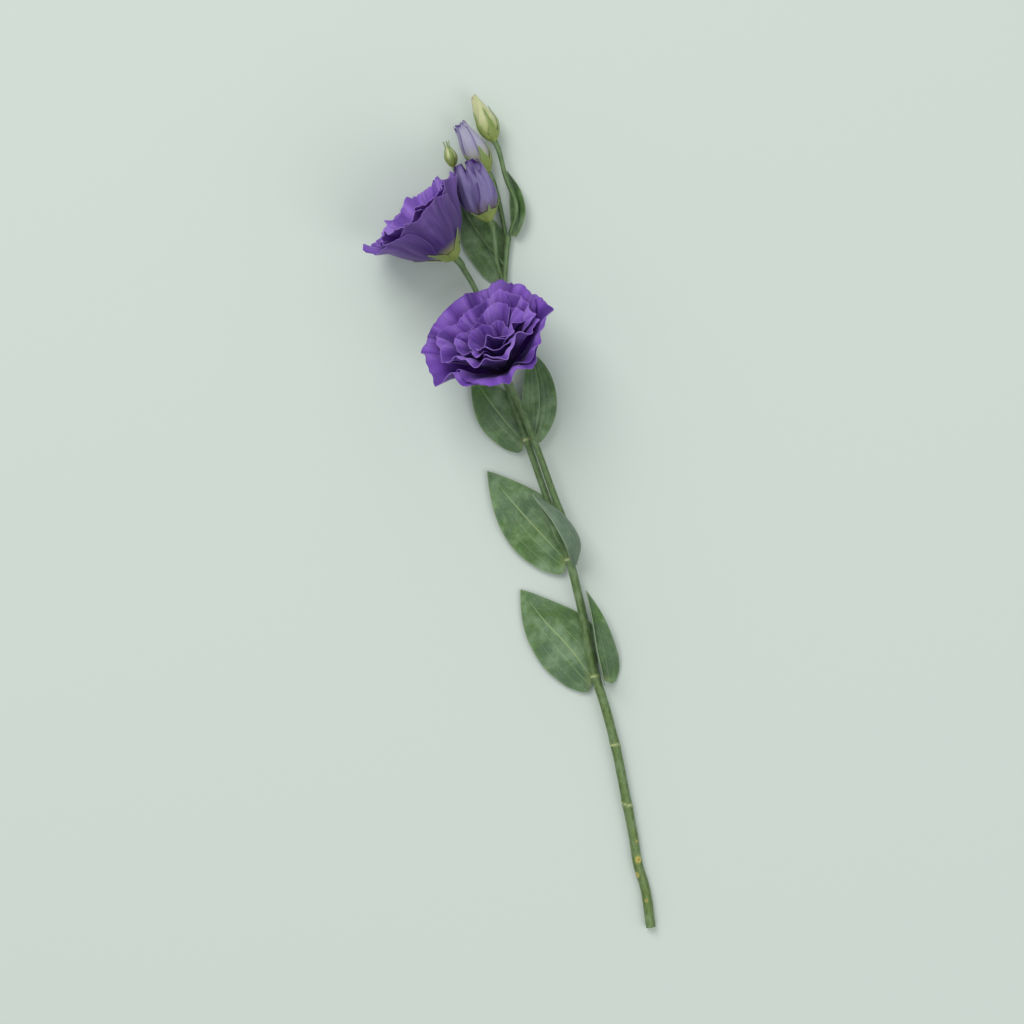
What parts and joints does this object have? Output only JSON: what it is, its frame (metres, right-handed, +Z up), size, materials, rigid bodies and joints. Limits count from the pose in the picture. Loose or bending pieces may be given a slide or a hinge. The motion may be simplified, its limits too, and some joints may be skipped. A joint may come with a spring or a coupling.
{
  "type": "lisianthus flower",
  "caption": "cut spray of double violet lisianthus lying down, with an open bloom, a bloom seen from its side, a bud cluster and clasping leaf pairs",
  "frame": {"origin": "on the surface that the spray lies on, under the middle of its box", "axes": "+Y runs along the stem from the cut end towards the blooms, +X is to the right when seen from above, +Z is up away from the surface"},
  "size_m": [0.1693, 0.4978, 0.067],
  "materials": {
    "stem": "smooth fresh green stem with a faint grey bloom, matt to satin",
    "leaf": "glaucous grey-green blade mottled with fresher green, pale midrib, waxy and matt",
    "calyx": "yellow-green to grey-green sepals, satin",
    "petal": "velvety violet petal with fine lengthwise veins and paler frilled margins",
    "bud_lavender": "pale lavender furled petals, darker at their margins",
    "bud_cream": "cream-green furled petals",
    "pistil": "orange-yellow stigma on a green ovary, matt"
  },
  "bodies": {
    "root": {"main_stem": "stem", "bud_stem": "stem", "open_bloom_stalk": "stem", "side_bloom_stalk": "stem", "purple_bud_stalk": "stem", "lavender_bud_stalk": "stem", "cream_bud_stalk": "stem", "small_bud_stalk": "stem", "leaf_low_left": "leaf", "leaf_low_right": "leaf", "leaf_middle_left": "leaf", "leaf_middle_right": "leaf", "leaf_upper_left": "leaf", "leaf_upper_right": "leaf", "leaf_under_buds": "leaf", "leaf_bract": "leaf", "open_bloom_calyx": "calyx", "open_bloom_pistil": "pistil", "open_bloom_petal_outer_1": "petal", "open_bloom_petal_outer_2": "petal", "open_bloom_petal_outer_3": "petal", "open_bloom_petal_outer_4": "petal", "open_bloom_petal_outer_5": "petal", "open_bloom_petal_middle_1": "petal", "open_bloom_petal_middle_2": "petal", "open_bloom_petal_middle_3": "petal", "open_bloom_petal_middle_4": "petal", "open_bloom_petal_middle_5": "petal", "open_bloom_petal_inner_1": "petal", "open_bloom_petal_inner_2": "petal", "open_bloom_petal_inner_3": "petal", "open_bloom_petal_inner_4": "petal", "open_bloom_petal_inner_5": "petal", "open_bloom_petal_centre_1": "petal", "open_bloom_petal_centre_2": "petal", "open_bloom_petal_centre_3": "petal", "side_bloom_calyx": "calyx", "side_bloom_pistil": "pistil", "side_bloom_petal_outer_1": "petal", "side_bloom_petal_outer_2": "petal", "side_bloom_petal_outer_3": "petal", "side_bloom_petal_outer_4": "petal", "side_bloom_petal_outer_5": "petal", "side_bloom_petal_inner_1": "petal", "side_bloom_petal_inner_2": "petal", "side_bloom_petal_inner_3": "petal", "side_bloom_petal_inner_4": "petal", "side_bloom_petal_inner_5": "petal", "purple_bud_petals": "petal", "purple_bud_calyx": "calyx", "lavender_bud_petals": "bud_lavender", "lavender_bud_calyx": "calyx", "cream_bud_petals": "bud_cream", "cream_bud_calyx": "calyx", "small_bud_petals": "bud_cream", "small_bud_calyx": "calyx"}
  },
  "joints": []
}
